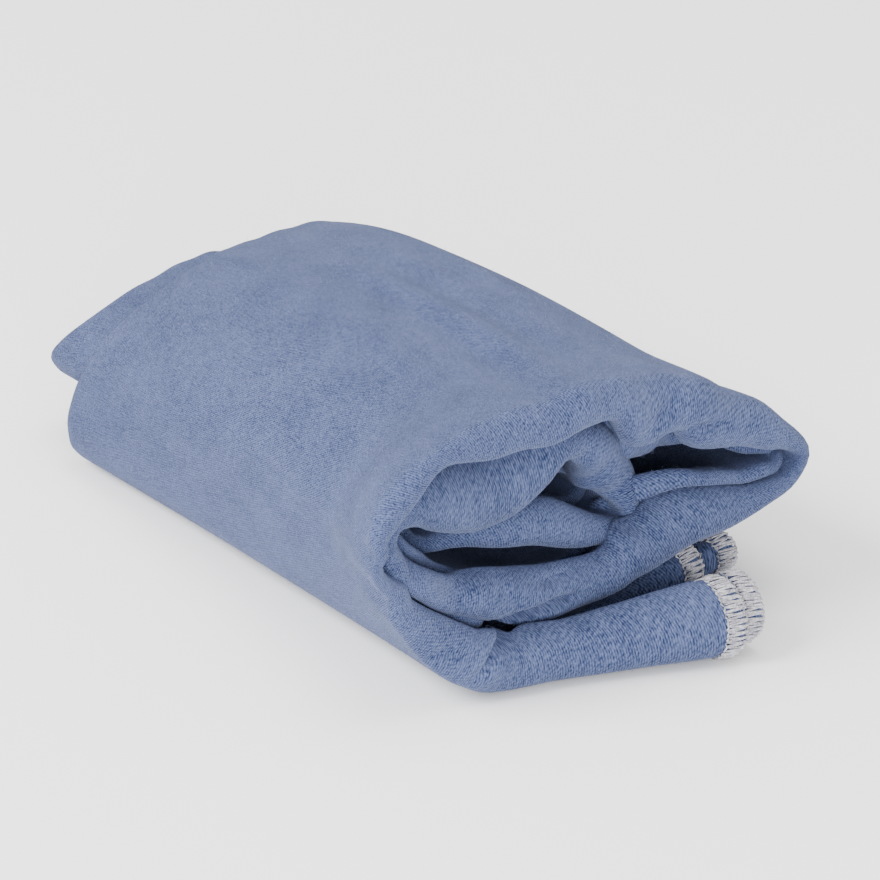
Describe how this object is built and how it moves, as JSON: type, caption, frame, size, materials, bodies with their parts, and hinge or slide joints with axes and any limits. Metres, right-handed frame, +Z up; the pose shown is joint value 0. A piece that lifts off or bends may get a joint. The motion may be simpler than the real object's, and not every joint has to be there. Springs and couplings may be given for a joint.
{
  "type": "travel towel",
  "caption": "Soft microfibre travel towel, folded into a flat strip and rolled up, with its pale stitched edge showing at the free end.",
  "frame": {"origin": "centre of the bounding box, on the surface that the towel rests on", "axes": "+Y along the roll's axis, from the front folds to the back fold; +X across the roll, towards the free end; +Z up"},
  "size_m": [0.1516, 0.2396, 0.076],
  "materials": {
    "microfibre": "brushed knit, matt with a soft sheen",
    "overlock_thread": "twisted thread, matt"
  },
  "bodies": {
    "root": {"towel_cloth": "microfibre", "tail_edge_overlock": "overlock_thread", "core_edge_overlock": "overlock_thread", "lower_short_edge_overlock": "overlock_thread", "upper_short_edge_overlock": "overlock_thread"}
  },
  "joints": []
}
